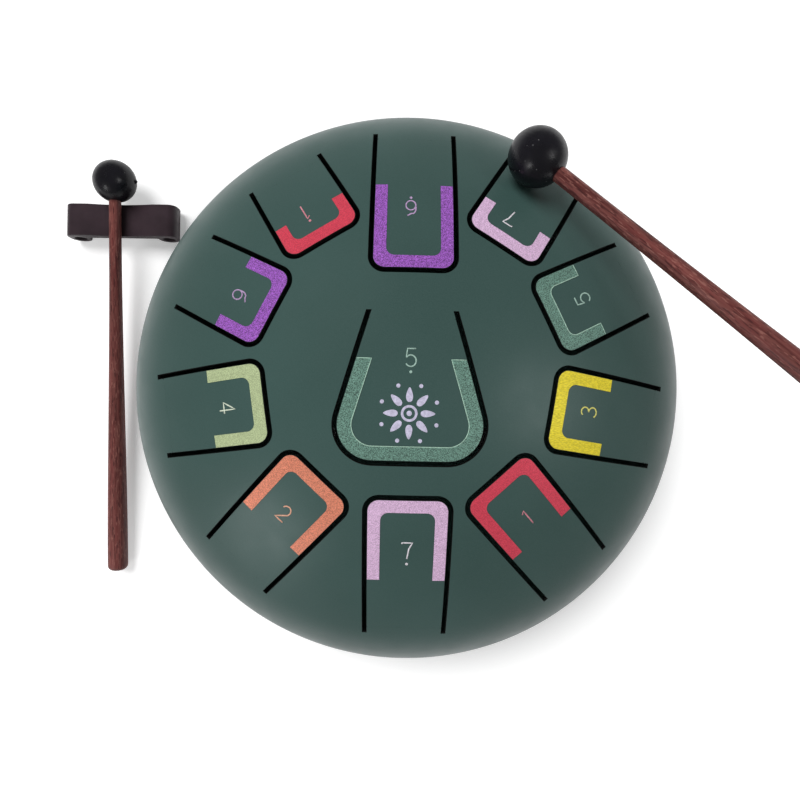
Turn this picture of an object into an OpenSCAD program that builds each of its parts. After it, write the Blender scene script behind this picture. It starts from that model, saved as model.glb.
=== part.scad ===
// Steel tongue drum with eleven tongues, two mallets and a mallet rest.
// Millimetres, +Z up. The origin is on the drum's axis, on the plane that its feet stand on.
// +Y points to the long low 6 tongue; the left mallet and its rest lie on the -X side.

/* [Drum body] */
// Outer diameter at the widest line
drum_d = 203; // [197:1:212]
// Height of the upper shell above the widest line
crown_h = 54; // [48:1:60]
// Depth of the lower shell below the widest line
bowl_h = 54; // [48:1:60]
// Radius of the rounded shoulder under the crown
shoulder_r = 35; // [30:1:40]
// Thickness of the steel sheet
sheet_t = 1; // [0.8:0.1:1.6]
// Height of the weld bead between the two shells
bead_h = 0.8; // [0.5:0.1:1.5]
// How far the weld bead stands proud of the shells
bead_proud = 0.1; // [0.05:0.05:0.3]
// Height of the lower shell's inner lip, above and below the weld
lip_h = 5; // [3:0.5:8]
// Gap between the lip and the upper shell
lip_gap = 0.05; // [0.02:0.01:0.2]
// Diameter of the sound hole in the underside
port_d = 50; // [30:1:60]

/* [Slots] */
// Width of the slots that free the tongues
slot_w = 1.36; // [1:0.02:2]
// How far a slot runs on past its tongue's root
slot_end_len = 2.4; // [1.5:0.1:3.5]
// Distance from the widest line in to the slots' ends
rim_margin = 17.6; // [16:0.1:19]
// Hairline between a tongue's root and the shell
root_gap = 0.02; // [0.02:0.01:0.05]

/* [Outer tongues] */
// Width of an outer tongue between the middles of its slots, as a share of drum_d
tongue_w_share = 0.1305; // [0.118:0.0005:0.1355]
// Corner radius of an outer tongue's slot
corner_r = 4.4; // [3:0.1:6]
// Length of the low 6 tongue from root to slot, as a share of drum_d
low_6_len_share = 0.2315; // [0.207:0.0005:0.241]
// Length of the low 7 tongue, as a share of drum_d
low_7_len_share = 0.2291; // [0.207:0.0005:0.241]
// Length of the 1 tongue, as a share of drum_d
one_len_share = 0.2103; // [0.187:0.0005:0.217]
// Length of the 2 tongue, as a share of drum_d
two_len_share = 0.2064; // [0.187:0.0005:0.217]
// Length of the 3 tongue, as a share of drum_d
three_len_share = 0.1837; // [0.167:0.0005:0.197]
// Length of the 4 tongue, as a share of drum_d
four_len_share = 0.1803; // [0.167:0.0005:0.197]
// Length of the 5 tongue, as a share of drum_d
five_len_share = 0.1695; // [0.153:0.0005:0.182]
// Length of the 6 tongue, as a share of drum_d
six_len_share = 0.1665; // [0.153:0.0005:0.182]
// Length of the 7 tongue, as a share of drum_d
seven_len_share = 0.1473; // [0.133:0.0005:0.158]
// Length of the high 1 tongue, as a share of drum_d
high_1_len_share = 0.1448; // [0.133:0.0005:0.158]
// How much further the slots of the low 6 tongue were cut when it was tuned
low_6_tuning = 1.5; // [-2.5:0.1:2]
// How much further the slots of the low 7 tongue were cut when it was tuned
low_7_tuning = -0.6; // [-2.5:0.1:2]
// How much further the slots of the 1 tongue were cut when it was tuned
one_tuning = 1.6; // [-2.5:0.1:2]
// How much further the slots of the 2 tongue were cut when it was tuned
two_tuning = 0; // [-2.5:0.1:2]
// How much further the slots of the 3 tongue were cut when it was tuned
three_tuning = 0.8; // [-2.5:0.1:2]
// How much further the slots of the 4 tongue were cut when it was tuned
four_tuning = -0.4; // [-2.5:0.1:2]
// How much further the slots of the 5 tongue were cut when it was tuned
five_tuning = 0.2; // [-2.5:0.1:2]
// How much further the slots of the 6 tongue were cut when it was tuned
six_tuning = -2.3; // [-2.5:0.1:2]
// How much further the slots of the 7 tongue were cut when it was tuned
seven_tuning = 0.5; // [-2.5:0.1:2]
// How much further the slots of the high 1 tongue were cut when it was tuned
high_1_tuning = -1.2; // [-2.5:0.1:2]
// Turn of the 7 and high 1 tongues from the low 6 tongue
pair_a_turn = 31.7; // [30:0.1:33]
// Turn of the 5 and 6 tongues
pair_b_turn = 63.4; // [62:0.1:65]
// Turn of the 3 and 4 tongues
pair_c_turn = 98.5; // [97:0.1:101]
// Turn of the 1 and 2 tongues
pair_d_turn = 137.4; // [136:0.1:139]

/* [Centre tongue] */
// Distance from the drum's axis to the centre tongue's root, as a share of drum_d
centre_root_share = 0.0956; // [0.084:0.0005:0.1035]
// Distance from the drum's axis to the middle of its end slot, as a share of drum_d
centre_end_share = 0.1204; // [0.108:0.0005:0.133]
// Width at the root between the middles of its slots, as a share of drum_d
centre_root_w_share = 0.1369; // [0.118:0.0005:0.148]
// Radius of its two large corners, as a share of drum_d
centre_corner_share = 0.0567; // [0.0445:0.0005:0.064]
// Lean of its sides
centre_flare = 16.4; // [12:0.1:18]

/* [Note bands] */
// Width of the bands on the outer tongues
band_w = 3.9; // [3:0.1:4.5]
// Width of the band on the centre tongue
centre_band_w = 4.4; // [3.5:0.1:5.5]
// Bare metal between a band and its slot
band_margin = 0.2; // [0.1:0.05:0.5]
// Thickness of a band's foil
band_t = 0.12; // [0.08:0.02:0.2]
// Adhesive film under a band
band_film = 0.01; // [0.01:0.01:0.03]
// Inner corner radius of an outer band
band_inner_r = 2.6; // [1:0.1:3.5]
// Distance from an outer tongue's root, before its tuning, to its band's legs
band_root_gap = 17.5; // [14:0.5:19]
// How much shorter the legs of the low 7 band are
low_7_band_cut = 1.5; // [0:0.1:2]
// Distance from the centre tongue's root to its band's legs
centre_band_root_gap = 12.2; // [8:0.1:16]

/* [Feet] */
// Height of the lower shell's lowest point above the floor
foot_clear = 6; // [5:0.5:10]
// Distance from the drum's axis to the feet, as a share of drum_d
foot_reach_share = 0.2069; // [0.187:0.0005:0.246]
// Diameter of a rubber foot where it meets the shell
foot_d = 20; // [16:0.5:22]
// Diameter of a rubber foot's free end
foot_end_d = 17.5; // [14:0.5:20]
// Gap between a foot and the shell
foot_seat_gap = 0.05; // [0.02:0.01:0.1]
// Depth of the screw head's seat, from the floor
head_seat_depth = 5.5; // [4.5:0.5:6.5]
// Diameter of the foot screws
screw_d = 4; // [3:0.5:5]
// Diameter of the screw heads
screw_head_d = 7.6; // [7:0.1:9]
// Height of the screw heads
screw_head_h = 2.6; // [2:0.1:3.5]
// Width of the key socket in a screw head, across its corners
screw_key_d = 2.9; // [2:0.1:3.5]
// Depth of the key socket
screw_key_depth = 1.3; // [1:0.1:1.6]
// Clearance round the screws and their heads
screw_gap = 0.2; // [0.1:0.05:0.4]
// Diameter of the washers
washer_d = 9; // [8.5:0.1:12]
// Thickness of the washers
washer_t = 0.8; // [0.5:0.1:1.2]
// Width of the nuts across their corners
nut_d = 8.1; // [7.5:0.1:10]
// Thickness of the nuts
nut_t = 3.2; // [2.5:0.1:4]
// Screw end that stands out of the nut
screw_spare = 1.2; // [0.5:0.1:3]

/* [Mallets] */
// Diameter of the rubber heads
head_d = 19; // [17:0.5:21]
// Length of a stick past the head's centre
stick_len = 182; // [160:1:200]
// Diameter of a stick at its head
stick_neck_d = 5.3; // [4.8:0.1:6.5]
// Diameter of a stick at its grip end
stick_grip_d = 8.8; // [8:0.1:10]
// Rounding of the grip end
stick_round = 2.4; // [1:0.1:3.5]
// How deep a stick sits past the head's centre
stick_seat = 2; // [0:0.5:5]
// Gap between a stick and its head's bore
stick_fit = 0.03; // [0.01:0.01:0.1]
// Height of the moulding nub on a head
nub_h = 1; // [0.5:0.1:1.5]
// Diameter of the nub's foot
nub_d = 2; // [1.5:0.1:3]
// Diameter of the nub's tip
nub_tip_d = 0.5; // [0.3:0.1:1]

/* [Mallet on the drum] */
// Gap between the head and the drum
strike_gap = 0.3; // [0.2:0.05:0.5]
// Distance from the drum's axis to the struck spot, as a share of drum_d
strike_reach_share = 0.3867; // [0.3645:0.0005:0.399]
// Turn of the struck spot from the low 6 tongue
strike_turn = -28.1; // [-30:0.1:-26]
// Heading of the stick, from +X
stick_heading = -44.7; // [-50:0.1:-40]
// Rise of the stick towards the grip
stick_rise = 15.4; // [12:0.1:25]

/* [Mallet rest] */
// Width of the rest
rest_w = 51.5; // [46:0.5:56]
// Depth of the rest, along the stick
rest_depth = 15; // [12:0.5:16]
// Height of the rest
rest_h = 11.5; // [10:0.5:13]
// Diameter of its two rolled feet
roll_d = 9.6; // [8.5:0.1:10]
// Diameter of the holes through the rolled feet
roll_hole_d = 5.4; // [4:0.1:6]
// Thickness of its top
rest_top_t = 5.2; // [4:0.1:6]
// Radius of its upper ends
rest_end_r = 4; // [3:0.1:4.5]
// Depth of the saddle that the stick lies in
saddle_depth = 1.6; // [1:0.1:2]
// Width of the saddle
saddle_w = 30; // [24:1:38]
// Distance from the drum's widest line to the resting stick, to the left
rest_aside = 34.7; // [29.5:0.1:48]
// Place of the rest, forward of the drum's axis, as a share of drum_d
rest_y_share = 0.3798; // [0.2955:0.0005:0.443]
// Turn of the rest and its mallet
rest_turn = 0.7; // [-3:0.1:3]
// Distance from the stick to the rest's middle, towards the drum
rest_shift = 1.1; // [0:0.1:3]
// Distance from the rest's middle to the head's centre
head_overhang = 16.9; // [16.8:0.1:22]
// Gap under the resting stick
stick_rest_gap = 0.3; // [0.2:0.05:0.5]

/* [Hidden] */
$fn = 96;

// Overrun of every cut past the face that it goes through
over = 2;

// The shells' curves, measured from the widest line
drum_r = drum_d / 2;
shoulder_x = drum_r - shoulder_r;
function crown_radius(h) = (pow(shoulder_x, 2) + pow(h, 2) - pow(shoulder_r, 2)) / (2 * (h - shoulder_r));
crown_r = crown_radius(crown_h);
bowl_r = crown_radius(bowl_h);
widest_z = foot_clear + bowl_h;
crown_centre_z = widest_z + crown_h - crown_r;
bowl_centre_z = foot_clear + bowl_r;

// Where the slots and the tongues end, before the tuning of each
slot_end_y = drum_r - rim_margin;
root_y = slot_end_y - slot_end_len;

// The tongues are laid out on the drum's diameter
tongue_w = drum_d * tongue_w_share;
low_6_len = drum_d * low_6_len_share;
low_7_len = drum_d * low_7_len_share;
one_len = drum_d * one_len_share;
two_len = drum_d * two_len_share;
three_len = drum_d * three_len_share;
four_len = drum_d * four_len_share;
five_len = drum_d * five_len_share;
six_len = drum_d * six_len_share;
seven_len = drum_d * seven_len_share;
high_1_len = drum_d * high_1_len_share;
tongue_lens = [
    low_6_len, low_7_len, one_len, two_len, three_len,
    four_len, five_len, six_len, seven_len, high_1_len
];
tunings = [
    low_6_tuning, low_7_tuning, one_tuning, two_tuning, three_tuning,
    four_tuning, five_tuning, six_tuning, seven_tuning, high_1_tuning
];
low_7_turn = 180;
tongue_turns = [
    0, low_7_turn, -pair_d_turn, pair_d_turn, -pair_c_turn,
    pair_c_turn, -pair_b_turn, pair_b_turn, -pair_a_turn, pair_a_turn
];

// The centre tongue; its sides lean out by centre_flare
centre_root_y = drum_d * centre_root_share;
centre_end_y = drum_d * centre_end_share;
centre_root_w = drum_d * centre_root_w_share;
centre_corner_r = drum_d * centre_corner_share;
centre_corner_y = centre_corner_r - centre_end_y;
corner_steps = 16;
centre_corner_x = centre_root_w / 2 + (centre_root_y - centre_corner_y) * tan(centre_flare)
    - centre_corner_r / cos(centre_flare);

// Feet: three of them, tilted to stand square on the round underside
foot_turns = [90, 210, 330];
foot_reach = drum_d * foot_reach_share;
foot_tilt = asin(foot_reach / bowl_r);
foot_len = bowl_centre_z / cos(foot_tilt) - bowl_r;
head_seat = foot_len - head_seat_depth;
screw_len = head_seat + sheet_t + washer_t + nut_t + screw_spare;
// A washer's flat face stands this far off the shell's hollow inside
washer_seat = (bowl_r - sheet_t) - sqrt(pow(bowl_r - sheet_t, 2) - pow(washer_d / 2, 2));

// Mallets: the stick swells from its neck to its grip
head_r = head_d / 2;
swell_steps = 14;
swell_power = 1.2;
function eased(u) = u * u * (3 - 2 * u);
function stick_radius(share) = stick_neck_d / 2
    + (stick_grip_d - stick_neck_d) / 2 * eased(pow(share, swell_power));

// The mallet on the drum: its head's centre stands square off the crown
strike_reach = drum_d * strike_reach_share;
strike_lean = asin(strike_reach / crown_r);
head_lift = crown_r + strike_gap + head_r;

// The resting mallet: it lies in the saddle, and its grip end lies on the floor
rest_x = drum_r + rest_aside;
rest_y = drum_d * rest_y_share;
saddle_r = (pow(saddle_w / 2, 2) + pow(saddle_depth, 2)) / (2 * saddle_depth);
saddle_z = rest_h - saddle_depth;
grip_z = stick_grip_d / 2 + stick_rest_gap;
neck_z = saddle_z + stick_neck_d / 2 + stick_rest_gap;
drop_share = (neck_z - grip_z) / (stick_len - head_overhang);
rest_slope = atan(drop_share);
// The slope lowers the stick by this much at the front edge of the rest
edge_drop = drop_share * rest_depth / 2;
resting_head_z = neck_z + edge_drop + head_overhang * drop_share;

// Outline of the space under one shell, h high, drawn inwards by "inset"
module dome_outline(h, inset) {
    r = crown_radius(h);
    // The crown and the shoulder meet on the line through both their centres
    wedge_top = h + over;
    wedge_x = shoulder_x * (wedge_top + r - h) / (r - h);
    intersection() {
        union() {
            intersection() {
                translate([0, h - r]) circle(r = r - inset);
                polygon([[0, h - r], [wedge_x, wedge_top], [0, wedge_top]]);
            }
            translate([shoulder_x, 0]) circle(r = shoulder_r - inset);
        }
        square([drum_d, drum_d]);
    }
}

// Section of one pressed shell, from the weld bead up
module shell_section(h) {
    difference() {
        dome_outline(h, 0);
        dome_outline(h, sheet_t);
        square([drum_d, bead_h / 2]);
    }
}

// Arc of the shoulder between two radii and two heights
module shoulder_band(inner_r, outer_r, low, high) {
    intersection() {
        translate([shoulder_x, 0]) difference() {
            circle(r = outer_r);
            circle(r = inner_r);
        }
        translate([shoulder_x, low]) square([drum_d, high - low]);
    }
}

// The upper shell before its slots are cut, open at the axis out to "open_r"
module upper_skin(open_r = 0) {
    translate([0, 0, widest_z]) rotate_extrude() difference() {
        shell_section(crown_h);
        if (open_r > 0) square([open_r, drum_d]);
    }
}

function mirrored(points) = [for (i = [len(points) - 1:-1:0]) [-points[i][0], points[i][1]]];

// Right corner of a U-shaped outline, turning from its side to its closed end
function u_corner(width, bottom, r) = [for (i = [0:corner_steps])
    let(a = 90 * i / corner_steps)
    [width / 2 - r + r * cos(a), bottom + r - r * sin(a)]];

// A U-shaped outline, its closed end towards the axis and its open end at "top"
module u_outline(width, bottom, top, r) {
    right = concat([[width / 2, top]], u_corner(width, bottom, r));
    polygon(concat(right, mirrored(right)));
}

// An outer tongue's outline, grown from the middle of its slot by "grow"
module outer_outline(tongue_len, grow, top) {
    u_outline(tongue_w + 2 * grow, root_y - tongue_len - grow, top, corner_r + grow);
}

// The centre tongue's right corner, grown from the middle of its slot by "grow": it turns from
// the side's outward direction down to -Y
function centre_corner(grow) = [for (i = [0:corner_steps])
    let(a = centre_flare - (90 + centre_flare) * i / corner_steps, r = centre_corner_r + grow)
    [centre_corner_x + r * cos(a), centre_corner_y + r * sin(a)]];

// How far out the grown side lies at the height y
function centre_side_x(grow, y) = centre_corner(grow)[0][0]
    - (y - centre_corner(grow)[0][1]) * tan(centre_flare);

module centre_outline(grow, top) {
    right = concat([[centre_side_x(grow, top), top]], centre_corner(grow));
    polygon(concat(right, mirrored(right)));
}

// All that is cut out of the crown for one outer tongue and its slot
module outer_cut(tongue_len, turn, tuning) {
    tuned_y = root_y + tuning;
    end_y = tuned_y + slot_end_len;
    right = concat(
        [
            [(tongue_w - slot_w) / 2, tuned_y],
            [(tongue_w - slot_w) / 2, end_y],
            [(tongue_w + slot_w) / 2, end_y]
        ],
        u_corner(tongue_w + slot_w, root_y - tongue_len - slot_w / 2, corner_r + slot_w / 2)
    );
    rotate(turn) polygon(concat(right, mirrored(right)));
}

module centre_cut() {
    end_y = centre_root_y + slot_end_len;
    right = concat(
        [
            [centre_side_x(-slot_w / 2, centre_root_y), centre_root_y],
            [centre_side_x(-slot_w / 2, end_y), end_y],
            [centre_side_x(slot_w / 2, end_y), end_y]
        ],
        centre_corner(slot_w / 2)
    );
    polygon(concat(right, mirrored(right)));
}

// Lifts an outline into a column through the whole crown
module through_crown() {
    translate([0, 0, widest_z + over]) linear_extrude(crown_h) children();
}

module upper_shell() {
    // The opening at the axis lies inside the centre tongue's cut
    color([0.24, 0.33, 0.31]) difference() {
        upper_skin(centre_corner_r);
        through_crown() centre_cut();
        for (i = [0:len(tongue_lens) - 1])
            through_crown() outer_cut(tongue_lens[i], tongue_turns[i], tunings[i]);
    }
}

module lower_shell() {
    inner_r = shoulder_r - sheet_t;
    lip_r = inner_r - lip_gap;
    color([0.22, 0.30, 0.28]) difference() {
        translate([0, 0, widest_z]) mirror([0, 0, 1]) rotate_extrude() {
            shell_section(bowl_h);
            shoulder_band(lip_r - sheet_t, inner_r + lip_gap, bead_h / 2, lip_h);
            shoulder_band(lip_r - sheet_t, lip_r, -lip_h, bead_h / 2);
        }
        cylinder(h = widest_z, d = port_d);
        for (turn = foot_turns) on_foot(turn)
            translate([0, 0, -over]) cylinder(h = sheet_t + 2 * over, d = screw_d + 2 * screw_gap);
    }
}

module weld_seam() {
    color([0.20, 0.28, 0.26]) translate([0, 0, widest_z]) rotate_extrude()
        translate([drum_r - sheet_t, -bead_h / 2]) square([sheet_t + bead_proud, bead_h]);
}

module outer_tongue(tongue_len, turn, tuning) {
    tuned_y = root_y + tuning;
    color([0.25, 0.34, 0.32]) intersection() {
        upper_skin();
        through_crown() rotate(turn) outer_outline(tongue_len, -slot_w / 2, tuned_y - root_gap);
    }
}

module centre_tongue() {
    color([0.25, 0.34, 0.32]) intersection() {
        upper_skin();
        through_crown() centre_outline(-slot_w / 2, centre_root_y - root_gap);
    }
}

// A thin foil that follows the crown, in the shape of the outline given; it is open at the axis
module crown_foil() {
    translate([0, 0, widest_z]) intersection() {
        rotate_extrude() difference() {
            dome_outline(crown_h, -band_film - band_t);
            dome_outline(crown_h, -band_film);
            square([centre_corner_r, drum_d]);
        }
        linear_extrude(crown_h + over) children();
    }
}

module outer_band(tongue_len, turn, leg_cut = 0) {
    outer_grow = -slot_w / 2 - band_margin;
    inner_grow = outer_grow - band_w;
    legs_y = root_y - band_root_gap - leg_cut;
    crown_foil() rotate(turn) difference() {
        outer_outline(tongue_len, outer_grow, legs_y);
        u_outline(tongue_w + 2 * inner_grow, root_y - tongue_len - inner_grow, root_y, band_inner_r);
    }
}

module centre_band() {
    outer_grow = -slot_w / 2 - band_margin;
    inner_grow = outer_grow - centre_band_w;
    legs_y = centre_root_y - centre_band_root_gap;
    crown_foil() difference() {
        centre_outline(outer_grow, legs_y);
        centre_outline(inner_grow, centre_root_y);
    }
}

// Frame on the underside at one foot: +Z goes in through the shell, square to it
module on_foot(turn) {
    translate([0, 0, bowl_centre_z]) rotate([0, 0, turn]) rotate([0, -foot_tilt, 0])
        translate([0, 0, -bowl_r]) children();
}

module foot(turn) {
    bore_d = screw_d + 2 * screw_gap;
    color([0.08, 0.08, 0.08]) difference() {
        on_foot(turn) difference() {
            translate([0, 0, -foot_len - over])
                cylinder(h = foot_len + 2 * over, d1 = foot_end_d, d2 = foot_d);
            translate([0, 0, -foot_len - 2 * over]) cylinder(h = foot_len + 4 * over, d = bore_d);
            translate([0, 0, -foot_len - 2 * over])
                cylinder(h = head_seat_depth + 2 * over, d = screw_head_d + 2 * screw_gap);
        }
        translate([0, 0, bowl_centre_z]) sphere(r = bowl_r + foot_seat_gap);
        translate([-drum_r, -drum_r, -foot_len]) cube([drum_d, drum_d, foot_len]);
    }
}

module foot_screws() {
    head_z = -head_seat - screw_head_h;
    color([0.6, 0.6, 0.62]) for (turn = foot_turns) on_foot(turn) difference() {
        union() {
            translate([0, 0, head_z]) cylinder(h = screw_head_h + screw_len, d = screw_d);
            translate([0, 0, head_z]) cylinder(h = screw_head_h, d = screw_head_d);
        }
        translate([0, 0, head_z - over]) cylinder(h = over + screw_key_depth, d = screw_key_d, $fn = 6);
    }
}

// A ring of the given thickness round a screw, standing "up" above the shell's outside
module screw_ring(up, thick, outside, sides) {
    for (turn = foot_turns) on_foot(turn) translate([0, 0, up]) difference() {
        cylinder(h = thick, d = outside, $fn = sides);
        translate([0, 0, -over]) cylinder(h = thick + 2 * over, d = screw_d + screw_gap);
    }
}

module foot_washers() {
    color([0.7, 0.7, 0.72]) screw_ring(sheet_t + washer_seat, washer_t, washer_d, $fn);
}

module foot_nuts() {
    color([0.65, 0.65, 0.67]) screw_ring(sheet_t + washer_seat + washer_t, nut_t, nut_d, 6);
}

// A mallet stick along +Z, with its head's centre at zero
module mallet_stick() {
    swell_len = stick_len - stick_round - head_r;
    end_x = stick_grip_d / 2 - stick_round;
    color([0.40, 0.20, 0.19]) rotate_extrude() {
        polygon(concat(
            [[0, -stick_seat], [stick_neck_d / 2, -stick_seat]],
            [for (i = [0:swell_steps])
                [stick_radius(i / swell_steps), head_r + swell_len * i / swell_steps]],
            [[0, stick_len - stick_round]]
        ));
        translate([0, stick_len - stick_round - over]) square([end_x, stick_round + over]);
        intersection() {
            translate([end_x, stick_len - stick_round]) circle(r = stick_round);
            translate([0, stick_len - stick_round]) square(stick_grip_d);
        }
    }
}

// A rubber head round its bore; the nub points to +X before it is turned
module mallet_head(nub_turn) {
    bore_depth = head_r + stick_seat;
    color([0.10, 0.10, 0.12]) difference() {
        union() {
            sphere(d = head_d);
            rotate([0, 90, nub_turn]) cylinder(h = head_r + nub_h, d1 = nub_d, d2 = nub_tip_d);
        }
        translate([0, 0, -stick_seat - stick_fit])
            cylinder(h = bore_depth + over, d = stick_neck_d + 2 * stick_fit);
    }
}

// The mallet that strikes the 7 tongue
module playing_place() {
    translate([0, 0, crown_centre_z]) rotate([0, 0, strike_turn + 90])
        rotate([0, strike_lean, 0]) translate([0, 0, head_lift])
        rotate([0, -strike_lean, 0]) rotate([0, 0, -strike_turn - 90])
        rotate([0, 90 - stick_rise, stick_heading]) children();
}

module beside_drum() {
    translate([-rest_x, rest_y, 0]) rotate([0, 0, rest_turn]) children();
}

// The mallet that lies on the rest
module resting_place() {
    beside_drum() translate([0, head_overhang, resting_head_z])
        rotate([90 + rest_slope, 0, 0]) children();
}

module mallet_rest() {
    roll_x = (rest_w - roll_d) / 2;
    under_h = rest_h - rest_top_t;
    gap_w = rest_w - 2 * roll_d;
    color([0.20, 0.16, 0.18]) beside_drum() translate([rest_shift, 0, 0]) rotate([90, 0, 0])
        linear_extrude(rest_depth, center = true) difference() {
            union() {
                for (side = [-1, 1]) translate([side * roll_x, roll_d / 2]) circle(d = roll_d);
                translate([-rest_w / 2, roll_d / 2]) square([rest_w, rest_h - rest_end_r - roll_d / 2]);
                translate([rest_end_r - rest_w / 2, roll_d / 2])
                    square([rest_w - 2 * rest_end_r, rest_h - roll_d / 2]);
                for (side = [-1, 1]) translate([side * (rest_w / 2 - rest_end_r), rest_h - rest_end_r])
                    circle(r = rest_end_r);
            }
            for (side = [-1, 1]) translate([side * roll_x, roll_d / 2]) circle(d = roll_hole_d);
            translate([-gap_w / 2, 0]) square([gap_w, under_h]);
            translate([0, saddle_z + saddle_r]) circle(r = saddle_r);
        }
}

upper_shell();
lower_shell();
weld_seam();
centre_tongue();  // tongue_low_5
outer_tongue(low_6_len, 0, low_6_tuning);  // tongue_low_6
outer_tongue(low_7_len, low_7_turn, low_7_tuning);  // tongue_low_7
outer_tongue(one_len, -pair_d_turn, one_tuning);  // tongue_1
outer_tongue(two_len, pair_d_turn, two_tuning);  // tongue_2
outer_tongue(three_len, -pair_c_turn, three_tuning);  // tongue_3
outer_tongue(four_len, pair_c_turn, four_tuning);  // tongue_4
outer_tongue(five_len, -pair_b_turn, five_tuning);  // tongue_5
outer_tongue(six_len, pair_b_turn, six_tuning);  // tongue_6
outer_tongue(seven_len, -pair_a_turn, seven_tuning);  // tongue_7
outer_tongue(high_1_len, pair_a_turn, high_1_tuning);  // tongue_high_1
color([0.37, 0.52, 0.44]) centre_band();  // band_low_5
color([0.55, 0.29, 0.69]) outer_band(low_6_len, 0);  // band_low_6
color([0.84, 0.69, 0.82]) outer_band(low_7_len, low_7_turn, low_7_band_cut);  // band_low_7
color([0.85, 0.28, 0.36]) outer_band(one_len, -pair_d_turn);  // band_1
color([0.88, 0.51, 0.37]) outer_band(two_len, pair_d_turn);  // band_2
color([0.86, 0.80, 0.23]) outer_band(three_len, -pair_c_turn);  // band_3
color([0.70, 0.77, 0.56]) outer_band(four_len, pair_c_turn);  // band_4
color([0.37, 0.50, 0.44]) outer_band(five_len, -pair_b_turn);  // band_5
color([0.55, 0.29, 0.69]) outer_band(six_len, pair_b_turn);  // band_6
color([0.84, 0.69, 0.82]) outer_band(seven_len, -pair_a_turn);  // band_7
color([0.85, 0.28, 0.36]) outer_band(high_1_len, pair_a_turn);  // band_high_1
foot(foot_turns[0]);  // foot_front
foot(foot_turns[1]);  // foot_rear_left
foot(foot_turns[2]);  // foot_rear_right
foot_screws();
foot_washers();
foot_nuts();
resting_place() mallet_stick();  // rest_mallet_stick
resting_place() mallet_head(0);  // rest_mallet_head
playing_place() mallet_stick();  // playing_mallet_stick
playing_place() mallet_head(90);  // playing_mallet_head
mallet_rest();
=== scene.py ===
# %% [markdown]
# # A steel tongue drum, dressed in Blender
#
# A tongue drum is two pressed steel bowls welded rim to rim. Slots in the upper one leave tongues
# that sing when a rubber-headed mallet strikes them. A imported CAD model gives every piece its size
# and its place. This lesson gives the pieces their finer shapes and their paint, foil, wood, rubber
# and plastic. Everything is in metres, in the CAD model's own frame, with +Z up.

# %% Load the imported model
import math

import bmesh
import bpy
from bmesh.types import BMEdge, BMFace, BMVert
from mathutils import Matrix, Vector


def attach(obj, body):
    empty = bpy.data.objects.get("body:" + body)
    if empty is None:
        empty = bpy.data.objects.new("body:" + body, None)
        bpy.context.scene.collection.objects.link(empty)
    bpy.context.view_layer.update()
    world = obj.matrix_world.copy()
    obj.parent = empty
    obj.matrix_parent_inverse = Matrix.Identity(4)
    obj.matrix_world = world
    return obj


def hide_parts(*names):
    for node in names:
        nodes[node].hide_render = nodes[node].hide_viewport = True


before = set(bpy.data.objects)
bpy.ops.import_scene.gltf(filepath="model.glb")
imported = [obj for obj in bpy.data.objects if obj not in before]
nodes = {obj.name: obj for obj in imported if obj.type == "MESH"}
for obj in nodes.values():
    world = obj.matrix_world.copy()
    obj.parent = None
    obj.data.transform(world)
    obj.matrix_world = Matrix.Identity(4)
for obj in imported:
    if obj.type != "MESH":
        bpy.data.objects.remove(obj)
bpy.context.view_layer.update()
MM = 0.001

# %% [markdown]
# ## Camera
#
# The photograph looks almost straight down, from about three drum radii above the floor. That is
# close, so the mallet head on top of the drum looks much larger than the one beside it. A wide
# 27 mm lens at the same height gives the same perspective. The camera leans by less than a degree.

# %% The camera
camera_data = bpy.data.cameras.new("camera")
camera_data.lens = 27
camera_data.sensor_width = 36
camera_data.clip_start = 0.01
camera = bpy.data.objects.new("camera", camera_data)
camera.location = (-0.00534, -0.00696, 0.29273)
camera.rotation_euler = (0.0092, -0.0120, 0.0222)
bpy.context.scene.collection.objects.link(camera)
bpy.context.scene.camera = camera
bpy.context.scene.view_settings.view_transform = "Standard"
print("camera height:", round(camera.location.z / MM), "mm")

# %% [markdown]
# ## Floor, lamps and world
#
# The object lies on a plain white table. The table's colour does most of its whiteness; a glow,
# seen by the camera and more weakly in reflections, lifts it to clean white. The glow fades in away
# from the drum, so that the shade under and close to it stays. A wide, soft sun stands high behind
# the object's left side and throws the soft shadow. It is kept out of reflections, so that only two
# window-like lamps show in the gloss, one low at the front left and one high at the right: they
# make the two sheens on the crown and the two highlights on each rubber head. The world is a weak
# fill that looks white to the camera.

# %% The floor
def shader_material(name):
    """A new material with an empty node tree, and its output node."""
    material = bpy.data.materials.new(name)
    material.use_nodes = True
    tree = material.node_tree
    tree.nodes.clear()
    return material, tree, tree.nodes.new("ShaderNodeOutputMaterial")


def feed(tree, node, values):
    """Gives a node's inputs their values, each a constant or the socket that it comes from."""
    for key, value in values.items():
        if isinstance(value, bpy.types.NodeSocket):
            tree.links.new(value, node.inputs[key])
        else:
            node.inputs[key].default_value = value


def shader_node(tree, kind, values=None, **settings):
    """A new node, with its settings and the values of its inputs."""
    node = tree.nodes.new("ShaderNode" + kind)
    for key, value in settings.items():
        setattr(node, key, value)
    feed(tree, node, values or {})
    return node


def object_from(name, bm):
    """Turns a bmesh into an object of the scene."""
    mesh = bpy.data.meshes.new(name)
    bm.to_mesh(mesh)
    bm.free()
    made = bpy.data.objects.new(name, mesh)
    bpy.context.scene.collection.objects.link(made)
    return made


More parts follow.
